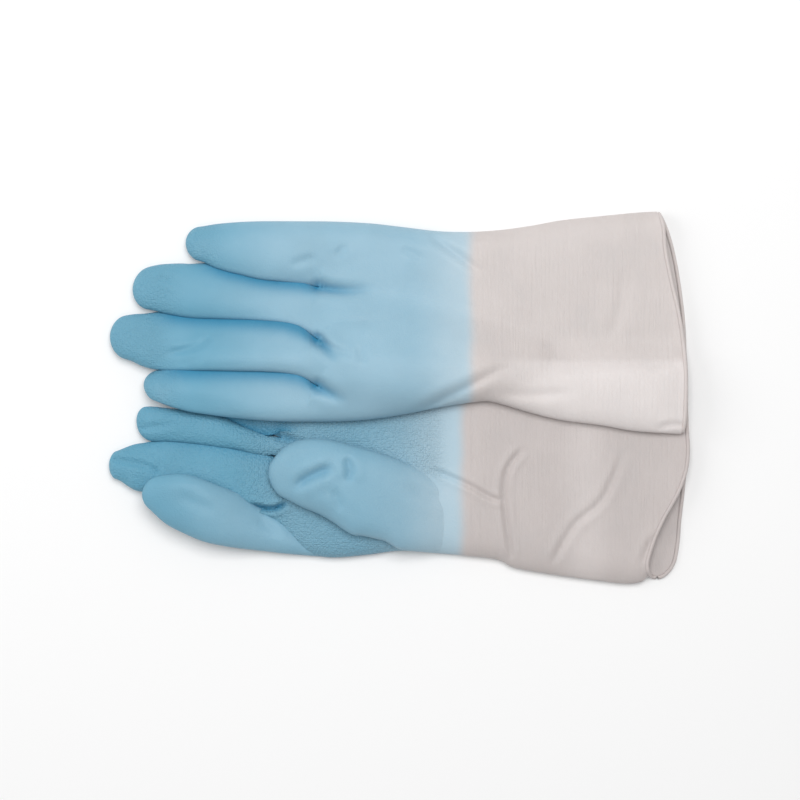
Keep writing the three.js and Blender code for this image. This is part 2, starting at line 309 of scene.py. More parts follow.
def fold(points, line, width, depth, fade_in, fade_out):
    """A crease along a line: a groove with a low roll on each side."""
    path = spline(line)
    d2 = (points[:, None, 0] - path[None, :, 0]) ** 2 + (points[:, None, 1] - path[None, :, 1]) ** 2
    at = d2.argmin(1)
    d = np.sqrt(d2.min(1))
    u = at / (len(path) - 1)
    begins = smooth(u / fade_in) if fade_in > 0 else 1.0
    ends = smooth((1 - u) / (1 - fade_out)) if fade_out < 1 else 1.0
    beyond = np.where((at == 0) | (at == len(path) - 1), np.exp(-((d / (2.0 * width)) ** 2)), 1)
    groove = -depth * np.exp(-((d / width) ** 2))
    rolls = ROLL * depth * np.exp(-(((d - 2.3 * width) / (1.3 * width)) ** 2))
    return begins * ends * beyond * (groove + rolls)


def ripple(points, scale, seed):
    """Slow unevenness, from -1 to 1."""
    rng = np.random.default_rng(seed)
    total = np.zeros(len(points))
    waves = 7
    for _ in range(waves):
        angle, phase = rng.uniform(0, 2 * math.pi), rng.uniform(0, 2 * math.pi)
        k = 2 * math.pi / (scale * rng.uniform(0.7, 1.5))
        along = points[:, 0] * math.cos(angle) + points[:, 1] * math.sin(angle)
        total += np.sin(k * along + phase)
    return total / waves


def profile(depth, reach):
    """The share that a sheet has risen at a depth: round at the edge, level beyond reach."""
    return np.sqrt(np.tanh(2 * depth / reach))


def turned_under(depth, lift):
    """How high a lower sheet lies where it turns up to its edge, lifted there by its finger's tilt."""
    turned = EDGE * (1 - profile(depth, TURN))
    return np.maximum(0, turned + lift * (1 - profile(depth, TILT_TURN)))


# --- the left glove: palm up, the lower one -------------------------------------------------------

# each finger's rows, from the tip to the root: x, the y of its low edge and the y of its high edge
L_LITTLE = [(-102.5, -4, 14.5), (-94, -8.6, 15), (-84, -13, 15.5), (-72.5, -18, 15.5)]
L_RING = [
    (-131.5, -23, -5), (-121, -23.5, -6), (-105, -25, -7.8), (-94, -26.5, -9.8), (-84, -28, -14.6),
    (-72.5, -31, -19.2),
]
L_MIDDLE = [
    (-147.5, -44, -28), (-139.5, -49, -25), (-131.5, -50.5, -24.2), (-105, -52, -25.8),
    (-89.5, -57.5, -28), (-72.5, -64, -31.6),
]
L_INDEX_HIGH = [
    (-129, -42.6), (-121, -40.6), (-113, -40.3), (-105, -42.2), (-94.6, -46.4), (-84, -50.9),
    (-75.5, -57), (-65.5, -62.5), (-57.5, -67.5), (-50, -74), (-44, -80),
]
L_INDEX_LOW = [
    (-129, -60.2), (-122, -66.5), (-113, -71.4), (-102.6, -75.8), (-88, -79), (-72.3, -81.2),
    (-55, -83.2), (-38, -84.4),
]
L_FINGERS = (L_LITTLE, L_RING, L_MIDDLE)
L_CROTCHES = [(-62, -21.4), (-60, -33.6)]


def left_runs(upper):
    """The left glove's outline, without the thumb and the index finger, which lie across it."""
    high = [
        (147, 17.6), (128, 18), (107, 17.5), (85.5, 16), (69.5, 14.5), (54, 11), (38, 8),
        (16.5, 12), (-10, 16.5), (-39, 16.5), (-60, 16),
    ]
    low = [
        (-59, -75), (-53, -80), (-45, -83.4), (-36, -84.8), (-18, -83.6), (0.8, -81.3), (18, -82.4),
        (35, -83.8), (53.8, -86.4), (59.5, -89.6), (77.6, -93.2), (106.8, -97.2), (120, -98.6),
        (128.5, -97.6), (132, -94.8),
    ]
    rim_upper = [
        (132, -94.8), (130.2, -89), (131.5, -83), (134, -75.5), (138.3, -65.5), (147, -49.5),
        (151, -38), (152, -28), (151.4, -18), (150.5, 0), (147, 17.6),
    ]
    rim_lower = [
        (132, -94.8), (138, -95.6), (144.5, -89.5), (147.2, -78), (148.2, -66), (149.6, -54),
        (151.2, -38), (152, -28), (151.4, -18), (150.5, 0), (147, 17.6),
    ]
    c1, c2 = L_CROTCHES
    return [
        (False, spline(high + around((-113, 6), L_LITTLE) + [c1])),
        (False, spline([c1] + around((-138.5, -12.5), L_RING) + [c2])),
        (False, spline([c2] + around((-153, -36), L_MIDDLE) + [(-65, -69)] + low)),
        (True, spline(rim_upper if upper else rim_lower)),
    ]


# the collapsed glove's height along x
LEFT_TALL = (
    (-140, -120, -72, -40, 0, 38, 60, 90, 150),
    (8.6, 9.6, 9.8, 10.3, 10.6, 10.6, 9.6, 8.6, 8.0),
)


def left_shape(points, depth, upper):
    """The heights of the left glove's sheets. The little and middle fingers are tilted down beside the
    ring finger, and the little finger lies lowest."""
    x, y = points[:, 0], points[:, 1]
    tall = eased(x, *LEFT_TALL)
    in_finger = smooth((-66 - x) / 14)
    slit_1, slit_2 = slits(L_FINGERS, x)
    above = [y > slit_1, y > slit_2]  # the little finger, the ring finger, and else the middle one
    centre = np.select(above, [2, (slit_1 + slit_2) / 2], slit_2 - 14)
    half = np.select(above, [10, (slit_1 - slit_2) / 2], 14)
    lean = np.clip((centre - y) / half, -1, 1)
    tilt = in_finger * 1.3 * np.select(above, [-lean, np.maximum(lean, 0)], lean)
    if not upper:
        return turned_under(depth, tilt + 1.2 * in_finger)
    risen = profile(depth, CROWN)
    little_low = in_finger * (y > slit_1) * -2.0
    z = EDGE + (tall - EDGE) * risen + tilt + in_finger * 0.6 + little_low * risen
    return z + 0.35 * ripple(points, 34, 3) * np.clip(depth / 3.0, 0, 1)


LEFT_FOLDS = [
    ([(-140, -17), (-125, -15.4), (-109, -13.2)], 1.5, 0.9, 0.0, 0.3),
    ([(-152, -33), (-141, -34.4), (-130.5, -37.4), (-126, -40.3)], 1.6, 1.3, 0.1, 0.95),
    ([(-126.5, -31), (-125, -37.5)], 1.4, 0.8, 0.6, 0.95),
    ([(-63, -21.2), (-55, -23), (-46, -27)], 2.0, 3.0, 0.0, 0.05),
    ([(-61, -33.4), (-56, -36), (-50, -42)], 2.0, 3.0, 0.0, 0.05),
    ([(-80, -56), (-73, -58.2), (-66, -58.8), (-61, -57), (-57, -54.6)], 1.2, 4.5, 0.2, 0.7),
    ([(14, -37), (26, -41.5), (38, -47), (50, -53.5), (57, -55)], 1.2, 1.4, 0.2, 0.85),
    ([(66, -26), (57.5, -38), (55.5, -48), (56.3, -60), (58, -74), (60, -87)], 1.4, 1.6, 0.12, 0.9),
    ([(80, -90), (86, -78), (93, -67), (106.8, -54.6), (114, -40.5), (120, -24)], 1.7, 1.0, 0.1, 0.7),
    ([(128, -90), (131, -80), (137, -70)], 1.6, 0.8, 0.3, 0.6),
]


def left_index_runs():
    root = [(-30, -83.4), (-29, -82), (-30.5, -80.8), (-36, -80.5)]
    nose = [(-132.8, -46), (-134.4, -51), (-133, -56)]
    edge = [root[-1]] + L_INDEX_HIGH[::-1] + nose + L_INDEX_LOW + [root[0]]
    return [(False, spline(edge)), (False, spline(root))]


def left_index_shape(points, depth, upper):
    """The index finger lies on the middle finger at its tip, and sinks into the palm at its root."""
    x, y = points[:, 0], points[:, 1]
    rest = eased(x, (-125, -104, -64, -46, -32), (10.4, 10.0, 1.4, -0.6, -4.0))
    tall = eased(x, (-132, -118, -95, -72, -55, -40, -32), (8.2, 9.6, 9.8, 9.6, 10.2, 9.6, 8.0))
    lean = eased(x, (-134, -110, -80), (0.8, 1.6, 0.0)) * np.clip((y + 60) / 14, -1, 1)
    if not upper:
        return rest + EDGE * (1 - profile(depth, TURN)) + lean * 0.4
    return rest + EDGE + (tall - EDGE) * profile(depth, CROWN) + lean


def left_thumb_runs():
    high = [
        (57, -58.5), (50, -56), (43, -52.2), (32, -46.5), (17, -40), (1, -33.6), (-10, -29.5),
        (-25.5, -25), (-36, -22.4), (-46.9, -21.8), (-57, -24.4), (-64, -30.5),
    ]
    low = [
        (-67.6, -43), (-63.5, -50.6), (-57.5, -54.2), (-50, -58), (-41.5, -61.5), (-33, -66.5),
        (-28.4, -69.8), (-23.5, -72.4), (-19, -72.8), (-12, -74.3), (-7.5, -75.4), (-4, -77.4),
        (0, -79.8), (8, -81.2), (18, -82), (30, -82.8), (40, -83.8),
    ]
    nose = [(-67.9, -37)]
    root = [low[-1], (50, -82.4), (57, -76), (60, -67), high[0]]
    return [(False, spline(high + nose + low)), (False, spline(root))]


def left_thumb_shape(points, depth, upper):
    """The thumb lies folded on the palm, and sinks into it at its root."""
    x = points[:, 0]
    rest = eased(x, (-18, 48), (10.9, -5.0))
    tall = eased(x, (-66, -40, 10, 58), (9.5, 11.5, 11.5, 9.0))
    if not upper:
        return rest + EDGE * (1 - profile(depth, TURN))
    return rest + EDGE + (tall - EDGE) * profile(depth, 17)


THUMB_FOLDS = [
    ([(-56, -50), (-50, -44), (-42, -39.5), (-32, -36)], 2.5, 2.5, 0.35, 0.7),
    ([(-28, -30.5), (-25.5, -37), (-26, -45)], 2.2, 1.9, 0.3, 0.7),
    ([(-35, -46.5), (-31, -55), (-30, -61.5)], 2.5, 1.1, 0.35, 0.6),
    ([(-63, -36), (-56, -32.5), (-48, -30)], 2.0, 0.6, 0.35, 0.6),
    ([(2, -44), (16, -52), (28, -57)], 3.0, 0.9, 0.35, 0.6),
]
INDEX_FOLDS = [
    ([(-118, -50), (-104, -56), (-92, -62)], 3.0, 0.7, 0.3, 0.6),
    ([(-76, -63), (-66, -70), (-60, -74)], 2.4, 0.9, 0.3, 0.6),
]


# --- the right glove: back up, lying across the left one ------------------------------------------

R_LITTLE = [
    (-102.5, 71, 90.5), (-97.3, 68.4, 91.4), (-89.5, 66, 92.2), (-84, 64.7, 92.6), (-72.3, 62, 93),
    (-60, 60.7, 93), (-51, 59.6, 92.9), (-42, 58.1, 92.9),
]
R_RING = [
    (-129, 45.6, 69.6), (-121, 43.7, 70.5), (-110.5, 41.9, 70.4), (-97, 41.3, 67.2),
    (-89.5, 41, 65), (-84, 40.8, 63.7), (-72.5, 40.2, 61), (-60, 38.8, 59.6), (-51, 35.8, 58.9),
    (-42, 30, 58.1),
]
R_MIDDLE = [
    (-141, 19, 43.7), (-134, 15.8, 44), (-126, 14.3, 43), (-110, 13.9, 41), (-97, 13.8, 40.3),
    (-84, 13.5, 39.8), (-72.3, 13.3, 39.2), (-60, 12.5, 37.8), (-51, 10.6, 34.8), (-42, 5.6, 30),
]
R_INDEX = [
    (-126, -2.8, 13.3), (-120, -5, 13.4), (-110, -7.8, 12.9), (-105, -8.6, 12.8),
    (-89.5, -10.7, 12.6), (-72.3, -12.3, 12.2), (-60, -12.9, 11.5), (-51, -13, 9.6),
    (-42, -13, 5.6),
]
R_FINGERS = (R_LITTLE, R_RING, R_MIDDLE, R_INDEX)
CROTCH = -42  # x of all three crotches
R_CROTCHES = [(CROTCH, rows[-1][1]) for rows in R_FINGERS[:3]]
# The fingers that tuck their high edge under the next one: the finger's number, its rows, and the x
# where the neighbour's tip ends the tuck.
TUCKED = ((2, R_RING, -112), (1, R_MIDDLE, -136), (0, R_INDEX, -133))


def right_runs(upper):
    """The right glove's outline, without the thumb, which is folded under the palm."""
    high = [
        (136.5, 98), (128, 97.6), (107, 95.6), (85.5, 93.3), (69.5, 90.4), (54, 88.3), (38, 87.3),
        (22, 87.6), (1, 90), (-15, 91.8), (-37, 92.8),
    ]
    low = [
        (-38, -13), (-25.7, -12.7), (-9.8, -11.2), (6, -8.6), (22, -5.4), (37.9, -3), (46.4, -2.3),
        (53.8, -3.8), (69.7, -8.5), (85.6, -12.2), (106.8, -15), (122.7, -17.8), (148.5, -19.6),
    ]
    rim_upper = [
        (148.5, -19.6), (149.4, -10), (149.9, 5), (149.8, 20), (149.2, 30), (146.6, 46),
        (142.9, 62), (139.8, 78), (138.8, 91), (136.5, 98),
    ]
    rim_lower = [
        (148.5, -19.6), (150.6, -12), (151.2, 5), (151, 25), (150.2, 41), (148, 59), (145.8, 72),
        (142.6, 85), (138.6, 95), (136.5, 98),
    ]
    c1, c2, c3 = R_CROTCHES
    return [
        (False, spline(high + around((-112.5, 81.5), R_LITTLE[:-1]) + [c1])),
        (False, spline([c1] + around((-140.5, 57), R_RING[:-1]) + [c2])),
        (False, spline([c2] + around((-152.5, 32), R_MIDDLE[:-1]) + [c3])),
        (False, spline([c3] + around((-134.4, 6.6), R_INDEX[:-1]) + low)),
        (True, spline(rim_upper if upper else rim_lower)),
    ]


RIGHT_TALL = (
    (-150, -130, -110, -60, -30, 0, 38, 60, 90, 150),
    (8.6, 10.0, 10.4, 10.8, 12.0, 12.4, 11.4, 10.0, 8.8, 8.0),
)
RIGHT_FOLDS = [
    ([(-43, 58.2), (-35, 56.6), (-24, 56), (-8, 58)], 2.6, 3.6, 0.0, 0.05),
    ([(-43, 30.8), (-38, 25.5), (-34, 21.5), (-28, 18)], 2.6, 4.0, 0.0, 0.05),
    ([(-52, 33), (-42, 29.5), (-31, 24), (-20, 19.5)], 1.7, 1.2, 0.3, 0.6),
    ([(-43, 6.2), (-37, 2.6), (-31, -0.4), (-24, -3)], 2.6, 3.6, 0.0, 0.05),
    ([(-125, 22), (-103, 28), (-97, 36)], 1.6, 1.1, 0.25, 0.7),
    ([(-129, 62.5), (-122, 62), (-114, 60)], 1.8, 0.7, 0.3, 0.6),
    ([(-27, 81), (-33.6, 72)], 2.0, 0.8, 0.3, 0.6),
    ([(-58, 69), (-50, 71.5), (-41.5, 74)], 2.0, 0.8, 0.3, 0.6),
    ([(0, 78.4), (8, 75), (15, 70.5)], 2.0, 0.7, 0.3, 0.6),
    ([(-21.5, 27.5), (-17, 15.5)], 2.2, 0.9, 0.35, 0.6),
    ([(-35, 39.7), (-20, 39.2), (-7, 39.7)], 2.4, 0.6, 0.3, 0.6),
    ([(14, 86), (29.4, 75.8), (40, 67.8), (48, 63)], 2.2, 1.3, 0.2, 0.6),
    ([(1, -15), (22, -1.6), (35, 4.8), (54, 14.3), (70, 18)], 2.4, 1.6, 0.2, 0.5),
    ([(48, 2), (70, 1), (96, 3)], 2.6, 0.8, 0.3, 0.6),
    ([(118, 72), (117, 48), (108, 24)], 3.0, 0.5, 0.3, 0.7),
    ([(74, 20), (110, 19), (148, 18.6)], 3.0, 0.9, 0.3, 0.95),
    ([(135, -17), (143, -14.5), (149, -15)], 1.5, 0.8, 0.3, 0.95),
]


def softened(height):
    """The heights of a grid, each moved towards the mean of its neighbours."""
    padded = np.pad(height, 1, mode="edge")
    sides = padded[:-2, 1:-1] + padded[2:, 1:-1] + padded[1:-1, :-2] + padded[1:-1, 2:]
    return (sides + 4 * height) / 8


class Drape:
    """How high the right glove's underside lies, above the floor and what it crosses. A grid of
    heights falls away from that no steeper than SLOPES, along x and y, and is then softened."""

    SPACING = 1.5
    SLOPES = (0.14, 0.52)

    def __init__(self, obstacle):
        self.x = np.arange(-165, 166, self.SPACING)
        self.y = np.arange(-45, 110, self.SPACING)
        gx, gy = np.meshgrid(self.x, self.y, indexing="ij")
        solid = obstacle(np.column_stack([gx.ravel(), gy.ravel()])).reshape(gx.shape)
        height = solid.copy()
        for _ in range(45):
            for axis, slope in enumerate(self.SLOPES):
                for way in (1, -1):
                    moved = np.roll(height, way, axis=axis)
                    edge = [slice(None), slice(None)]
                    edge[axis] = 0 if way == 1 else -1
                    moved[tuple(edge)] = 0
                    height = np.maximum(height, moved - slope * self.SPACING)
        for _ in range(14):
            height = np.maximum(softened(height), solid * 0.98)
        for _ in range(3):
            height = softened(height)
        self.height = height

    def __call__(self, points):
        u = np.clip((points[:, 0] - self.x[0]) / self.SPACING, 0, len(self.x) - 1.001)
        v = np.clip((points[:, 1] - self.y[0]) / self.SPACING, 0, len(self.y) - 1.001)
        i, j = u.astype(int), v.astype(int)
        u, v, h = u - i, v - j, self.height
        low = h[i, j] * (1 - u) + h[i + 1, j] * u
        high = h[i, j + 1] * (1 - u) + h[i + 1, j + 1] * u
        return low * (1 - v) + high * v


def under_right(points):
    """The heights of the left glove and the folded right thumb, where the right glove covers them."""
    x, y = points[:, 0], points[:, 1]
    top = np.zeros(len(points))
    outline, _ = closed(left_runs(False))
    covered = inside(points, outline)
    risen = profile(depth_inside(points[covered], outline), CROWN)
    top[covered] = EDGE + (eased(x[covered], *LEFT_TALL) - EDGE) * risen + 0.6
    little_finger = covered & (x < -60) & (y > np.interp(x, (-94, -62), (-9, -21)))
    top[little_finger] -= 1.6
    outline, _ = closed(right_thumb_runs())
    covered = inside(points, outline)
    thumb = right_thumb_shape(points[covered], depth_inside(points[covered], outline), True) + 0.5
    top[covered] = np.maximum(top[covered], thumb * smooth((22 - x[covered]) / 14))
    return top


def right_thumb_runs():
    high = [(34, 14), (20, 18.5), (6, 22.5), (-15, 26), (-33.5, 25), (-40, 20)]
    low = [(-40, 10), (-33.5, 5), (-15, 1), (6, -2), (20, -1.4), (34, 1)]
    nose = [(-42.5, 15)]
    root = [low[-1], (37, 7.5), high[0]]
    return [(False, spline(high + nose + low)), (False, spline(root))]


def right_thumb_shape(points, depth, upper):
    """The thumb lies on the left glove, pressed flat, and rises into the palm at its root."""
    rest = eased(points[:, 0], (-40, 6, 22, 36), (10.9, 11.1, 12.6, 15.5))
    edge, crown = 1.8, 4.4
    if not upper:
        return rest + edge * (1 - profile(depth, 6))
    return rest + edge + crown * profile(depth, 12)


drape = Drape(under_right)


def right_finger(points):
    """0 for the index finger to 3 for the little finger."""
    return sum((points[:, 1] > slit).astype(int) for slit in slits(R_FINGERS, points[:, 0]))


def right_shape(points, depth, upper):
    """The heights of the right glove's sheets. Each finger is tilted, its edge towards -Y raised."""
    x, y = points[:, 0], points[:, 1]
    base = drape(points)
    tall = eased(x, *RIGHT_TALL)
    in_finger = smooth((CROTCH - x) / 26)
    finger = right_finger(points)
    low = np.choose(finger, [edge_height(rows, 1, x) for rows in R_FINGERS[::-1]])
    high = np.choose(finger, [edge_height(rows, 2, x) for rows in R_FINGERS[::-1]])
    tilt = in_finger * 1.7 * np.clip(((low + high) / 2 - y) / ((high - low) / 2), -1, 1)
    if not upper:
        return base + turned_under(depth, tilt + 1.5 * in_finger)
    z = base + EDGE + (tall - EDGE) * profile(depth, CROWN) + tilt + in_finger * 0.6
    z += 0.4 * ripple(points, 38, 5) * np.clip(depth / 3.0, 0, 1)
    return np.maximum(z, base + 0.3)


def tuck(points, rows, neighbour_end, root, amount):
    """Slides a finger's high edge under its neighbour, between the neighbour's tip and the root."""
    x, y = points[:, 0], points[:, 1]
    beside = np.clip(1 - (edge_height(rows, 2, x) - y) / 8.0, 0, 1.3)
    reach = smooth((root - x) / 11) * smooth((x - neighbour_end) / 14)
    return amount * smooth(beside) * reach


def right_warp(points):
    """Tucks each finger's high edge under the next finger."""
    finger = right_finger(points)
    out = points.copy()
    for number, rows, end in TUCKED:
        mine = (finger == number) & (points[:, 0] < CROTCH)
        out[mine, 1] += tuck(points[mine], rows, end, CROTCH, 2.9)
    return out


def left_warp(points):
    """Tucks the little and middle fingers' edges under the ring finger's."""
    x, y = points[:, 0], points[:, 1]
    out = points.copy()
    slit_1, slit_2 = slits(L_FINGERS, x)
    little = (y > slit_1) & (x < -60)
    middle = (y < slit_2) & (x < -60)
    beside = smooth(1 - (y - edge_height(L_LITTLE, 1, x)) / 8)
    out[little, 1] -= (2.6 * beside * smooth((-60 - x) / 9))[little]
    out[middle, 1] += tuck(points[middle], L_MIDDLE, -136, -60, 2.6)
    return out


# --- looks ----------------------------------------------------------------------------------------


# linear colours
BLUE = (0.295, 0.475, 0.585, 1)
DEEP_TINT_AND_SHADE = (0.12, 0.345, 0.48, 1)  # deeper blue towards the fingertips: partly a thicker coat's deeper tint, partly painted shade
THIN = (0.45, 0.585, 0.665, 1)  # where it runs out at the wrist
CREVICE_SHADE = (0.04, 0.24, 0.40, 1)  # painted shade between fingers, under overlapping finger edges and in creases
PALE = (0.72, 0.665, 0.65, 1)  # the lightest parts of a cuff
# the left glove's white is darker than the right's: painted shade, as the left glove lies lower
WHITES = {"right_rubber": (0.615, 0.562, 0.545, 1), "left_rubber_shaded": (0.545, 0.494, 0.48, 1)}
COAT_ENDS = {"right_rubber": 39.5, "left_rubber_shaded": 35.0}  # x where the blue coat ends
FINISH = {
    "Roughness": 0.5,
    "IOR": 1.5,
    "Specular IOR Level": 0.32,
    "Subsurface Weight": 0.25,
    "Subsurface Radius": (1.0, 0.9, 0.85),
    "Subsurface Scale": 0.002,
}


def rubber(name):
    """Dipped rubber: the blue colour coat fades into the warm white base coat at the wrist. The
    pieces' attributes say where: dip, how far the white has come; thin and deep, the tints of the
    blue, deep partly painted shade; the crevice shade, painted shade between fingers and in creases;
    pale, the tint of the white; grip, how strongly it is embossed, with painted shade in its grooves;
    and place, in mm."""
    material = bpy.data.materials.new(name)
    material.use_nodes = True
    nodes, links = material.node_tree.nodes, material.node_tree.links
    surface = nodes["Principled BSDF"]

    def put(value, socket):
        """Gives a socket its value, or the output that it follows."""
        if isinstance(value, bpy.types.NodeSocket):
            links.new(value, socket)
        else:
            socket.default_value = value

    def attribute(key, output="Fac"):
        node = nodes.new("ShaderNodeAttribute")
        node.attribute_name = key
        return node.outputs[output]

    def maths(operation, *values):
        node = nodes.new("ShaderNodeMath")
        node.operation = operation
        for socket, value in zip(node.inputs, values):
            put(value, socket)
        return node.outputs[0]

    def noise(vector, scale, detail):
        node = nodes.new("ShaderNodeTexNoise")
        put(vector, node.inputs["Vector"])
        put(scale, node.inputs["Scale"])
        put(detail, node.inputs["Detail"])
        return node.outputs["Fac"]

    def mixed(factor, a, b, blend_type="MIX"):
        node = nodes.new("ShaderNodeMix")
        node.data_type = "RGBA"
        node.blend_type = blend_type
        put(factor, node.inputs["Factor"])
        put(a, node.inputs["A"])
        put(b, node.inputs["B"])
        return node.outputs["Result"]

    for key, value in FINISH.items():
        put(value, surface.inputs[key])
    place = attribute("place", "Vector")

    # the colour: two coats, clouded a little, with painted shade in the grip's grooves
    cloud = noise(place, 0.045, 3.0)
    wander = maths("MULTIPLY", maths("SUBTRACT", cloud, 0.5), 0.5)
    share = nodes.new("ShaderNodeMapRange")
    share.interpolation_type = "SMOOTHSTEP"
    put(maths("ADD", attribute("dip"), wander), share.inputs["Value"])
    # deep is partly painted shade; the crevice shade is painted shade between fingers and in creases
    coat = BLUE
    for shade, key in ((DEEP_TINT_AND_SHADE, "deep"), (THIN, "thin"), (CREVICE_SHADE, "crevice_shade")):
        coat = mixed(attribute(key), coat, shade)
    colour = mixed(share.outputs["Result"], coat, mixed(attribute("pale"), WHITES[name], PALE))
    grain = nodes.new("ShaderNodeTexVoronoi")
    grain.feature = "F1"
    put(place, grain.inputs["Vector"])
    put(0.9, grain.inputs["Scale"])
    put(0.7, grain.inputs["Randomness"])
    embossed = maths("MULTIPLY", grain.outputs["Distance"], attribute("grip"))
    cloudy = maths("ADD", maths("MULTIPLY", cloud, 0.16), 0.94)
    # painted shade: the grip's grooves are darkened in the colour, over the random clouding
    mottle_and_groove_shade = maths("SUBTRACT", cloudy, maths("MULTIPLY", embossed, 0.16))
    grey = nodes.new("ShaderNodeCombineColor")
    for socket in grey.inputs:
        put(mottle_and_groove_shade, socket)
    put(mixed(1.0, colour, grey.outputs[0], "MULTIPLY"), surface.inputs["Base Color"])

    # the relief: the grip, fine unevenness, and lines drawn along the cuff
    streaks = nodes.new("ShaderNodeVectorMath")
    streaks.operation = "MULTIPLY"
    put(place, streaks.inputs[0])
    put((1.0, 0.05, 1.0), streaks.inputs[1])
    drawn = maths("MULTIPLY", noise(streaks.outputs["Vector"], 0.7, 2.0), 0.3)
    lines = maths("MULTIPLY", drawn, attribute("dip"))
    fine = maths("MULTIPLY", noise(place, 1.3, 4.0), 0.12)
    relief = maths("ADD", maths("ADD", maths("MULTIPLY", embossed, -1.0), fine), lines)
    bump = nodes.new("ShaderNodeBump")
    put(0.9, bump.inputs["Strength"])
    put(0.001, bump.inputs["Distance"])
    put(relief, bump.inputs["Height"])
    put(bump.outputs["Normal"], surface.inputs["Normal"])
    return material


right_rubber = rubber("right_rubber")
left_rubber_shaded = rubber("left_rubber_shaded")


def mesh_object(name, points, faces, material, values, place):
    """A smooth mesh in the scene, with the attributes that its material reads."""
    mesh = bpy.data.meshes.new(name)
    mesh.from_pydata((points * MM).tolist(), [], faces)
    mesh.polygons.foreach_set("use_smooth", np.ones(len(faces), bool))
    for key, value in values.items():
        attribute = mesh.attributes.new(key, "FLOAT", "POINT")
        attribute.data.foreach_set("value", value.astype(np.float32))
    attribute = mesh.attributes.new("place", "FLOAT_VECTOR", "POINT")
    attribute.data.foreach_set("vector", place.astype(np.float32).ravel())
    mesh.materials.append(material)
    obj = bpy.data.objects.new(name, mesh)
    bpy.context.scene.collection.objects.link(obj)
    return obj


def piece(name, lobe, chosen, material, grip, tint, inner=False):
    """One named piece of a lobe, from the chosen faces, shaded as part of the whole lobe. inner adds
    the face on the other side of its wall."""
    used, faces = renumbered(lobe.faces[chosen], len(lobe.points))
    points, normals = lobe.points[used], lobe.normals()[used]
    plan, is_upper = lobe.plan[used], lobe.upper[used]
    deep, crevice_shade, pale = tint(plan, is_upper)
    # painted shade deepened along the creases
    crevice_shade = np.clip(crevice_shade + 0.65 * lobe.groove[used], 0, 1)
    if inner:
        faces = np.vstack([faces, faces[:, ::-1] + len(points)])
        points = np.vstack([points, points - normals * WALL])
        normals = np.vstack([normals, -normals])
        plan, is_upper = np.vstack([plan, plan]), np.concatenate([is_upper, is_upper])
        deep, crevice_shade, pale = (np.concatenate([v, v]) for v in (deep, crevice_shade, pale))
    past = plan[:, 0] - COAT_ENDS[material.name]
    values = {
        "dip": 0.1 * smooth((past + 30) / 28) + 0.9 * smooth((past + 7) / 11),
        "grip": grip(plan, is_upper),
        "deep": deep,
        "thin": 0.9 * smooth((past + 36) / 34),
        "crevice_shade": crevice_shade,
        "pale": pale,
    }
    place = np.column_stack([plan, np.where(is_upper, 40.0, -40.0)])
    obj = mesh_object(name, points, faces.tolist(), material, values, place)
    obj.data.normals_split_custom_set_from_vertices(normals.tolist())
    return obj


def cord(name, path, radius, material, sides=10):
    """A closed round cord along a path."""
    count = len(path)
    ahead = np.roll(path, -1, axis=0) - np.roll(path, 1, axis=0)
    ahead /= np.linalg.norm(ahead, axis=1)[:, None]
    out = np.array([1.0, 0, 0]) - ahead * ahead[:, 0:1]
    out /= np.linalg.norm(out, axis=1)[:, None]
    across = np.cross(ahead, out)
    rings = []
    for k in range(sides):
        angle = 2 * math.pi * k / sides
        rings.append(path + radius * (math.cos(angle) * out + math.sin(angle) * across))
    points = np.stack(rings, 1).reshape(-1, 3)
    faces = []
    for i in range(count):
        for k in range(sides):
            j, m = (i + 1) % count, (k + 1) % sides
            faces.append((i * sides + k, i * sides + m, j * sides + m, j * sides + k))
    return mesh_object(name, points, faces, material, {"dip": np.ones(len(points))}, points)


def mouth_path(lobe, runs):
    """The closed line round a cuff's mouth, a little outside both sheets."""
    lines = []
    for upper in (True, False):
        _, rim = runs(upper)[-1]
        plan, points = lobe.plan[lobe.upper == upper], lobe.points[lobe.upper == upper]
        lines.append(points[[np.argmin(((plan - p) ** 2).sum(1)) for p in rim]])
    loop = np.vstack([lines[0], lines[1][::-1][1:-1]])
    for _ in range(6):
        loop = (np.roll(loop, 1, axis=0) + np.roll(loop, -1, axis=0) + 2 * loop) / 4
    loop[:, 0] += BEAD * 0.5
    loop[:, 2] = np.maximum(loop[:, 2], BEAD)
    return loop


# --- assembly -------------------------------------------------------------------------------------


def cut_across(x, low, high):
    """The points of a cut at x, from one y to another."""
    count = max(2, int((high - low) / CUT_STEP))
    return np.column_stack([np.full(count, x), low + (high - low) * np.linspace(0, 1, count)])


wrist_cut = cut_across(WRIST, -120.0, 120.0)
right_cuts = [wrist_cut, cut_across(CUT_R, -120.0, 120.0)]
left_cuts = [wrist_cut, cut_across(CUT_L, -120.0, -15.0)]

left = Lobe(left_runs(True), left_runs(False), left_shape, LEFT_FOLDS, left_warp, left_cuts)
left_index = Lobe(left_index_runs(), left_index_runs(), left_index_shape, INDEX_FOLDS)
left_thumb = Lobe(left_thumb_runs(), left_thumb_runs(), left_thumb_shape, THUMB_FOLDS)
right = Lobe(right_runs(True), right_runs(False), right_shape, RIGHT_FOLDS, right_warp, right_cuts)
right_thumb = Lobe(right_thumb_runs(), right_thumb_runs(), right_thumb_shape, [])


def palm_grip(plan, is_upper):
    """The left glove shows its palm: embossed all over, except the cuff and the thumb's root."""
    x, y = plan[:, 0], plan[:, 1]
    level = 0.75 - 0.3 * smooth((-70 - x) / 20)
    root = smooth((-33 - 0.42 * x - y) / 4) * smooth((x - 2) / 14)
    return level * smooth((30 - x) / 14) * np.where(is_upper, 1 - 0.85 * root, 1)


def back_grip(plan, is_upper):
    """The right glove shows its back: plain, except at the fingertips and on its underside."""
    begins = np.choose(right_finger(plan), [-106, -112, -108, -86])
    tips = smooth((begins - plan[:, 0]) / 18) * 0.5
    return np.where(is_upper, tips, 0.75) * smooth((30 - plan[:, 0]) / 14)


def no_grip(plan, is_upper):
    """A lobe shows its plain side, and hides its embossed one."""
    return np.where(is_upper, 0.12, 0.7)


